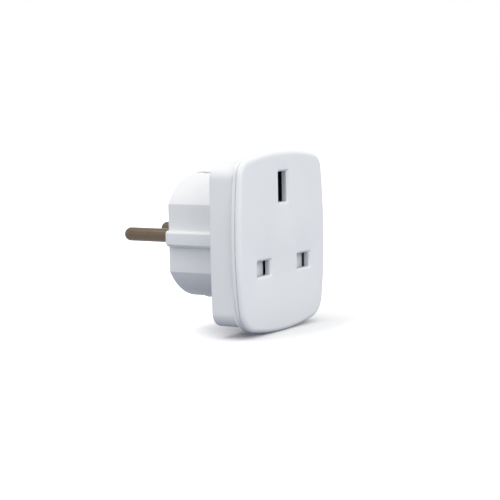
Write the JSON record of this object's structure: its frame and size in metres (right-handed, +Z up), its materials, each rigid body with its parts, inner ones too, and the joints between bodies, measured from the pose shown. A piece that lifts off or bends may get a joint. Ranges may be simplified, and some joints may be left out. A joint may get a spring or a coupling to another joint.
{
  "type": "travel plug adapter",
  "caption": "White travel plug adapter: a shuttered square-pin socket on the front, a round plug body with two round pins and side earth contacts on the back.",
  "frame": {"origin": "the middle of the plug body's end face, between the two round pins, where it meets the wall socket", "axes": "+X right as seen from the socket side, +Y out along the round pins, +Z up towards the earth slot"},
  "size_m": [0.0484, 0.0485, 0.0516],
  "materials": {
    "white_housing": "moulded white thermoplastic, satin gloss with fine moulding texture",
    "white_shutter": "moulded white acetal, low gloss",
    "inner_plastic": "moulded off-white insulating plastic",
    "plated_brass": "nickel-plated brass, dull and slightly warm grey",
    "contact_bronze": "bare phosphor bronze strip",
    "earth_metal": "nickel-plated brass strip",
    "zinc_steel": "zinc-plated steel screws",
    "spring_steel": "bright spring wire"
  },
  "bodies": {
    "adapter": {"front_cover": "white_housing", "rear_housing": "white_housing", "shutter_spring": "spring_steel", "contact_carrier": "inner_plastic", "earth_strap": "earth_metal", "earth_clip": "contact_bronze", "earth_rivet": "plated_brass", "earth_sleeve": "earth_metal", "neutral_pin": "plated_brass", "neutral_link": "contact_bronze", "neutral_clip": "contact_bronze", "neutral_rivet": "plated_brass", "live_pin": "plated_brass", "live_link": "contact_bronze", "live_clip": "contact_bronze", "live_rivet": "plated_brass", "screw_upper_left": "zinc_steel", "screw_upper_right": "zinc_steel", "screw_lower_left": "zinc_steel", "screw_lower_right": "zinc_steel"},
    "shutter": {"safety_shutter": "white_shutter"}
  },
  "joints": [
    {"name": "shutter_slide", "type": "slide", "parent": "adapter", "child": "shutter", "axis": [0, 0, -1], "range_m": [0, 0.0055], "stiffness_N_per_m": 150, "springref_m": -0.003, "deforming": ["shutter_spring"]}
  ]
}
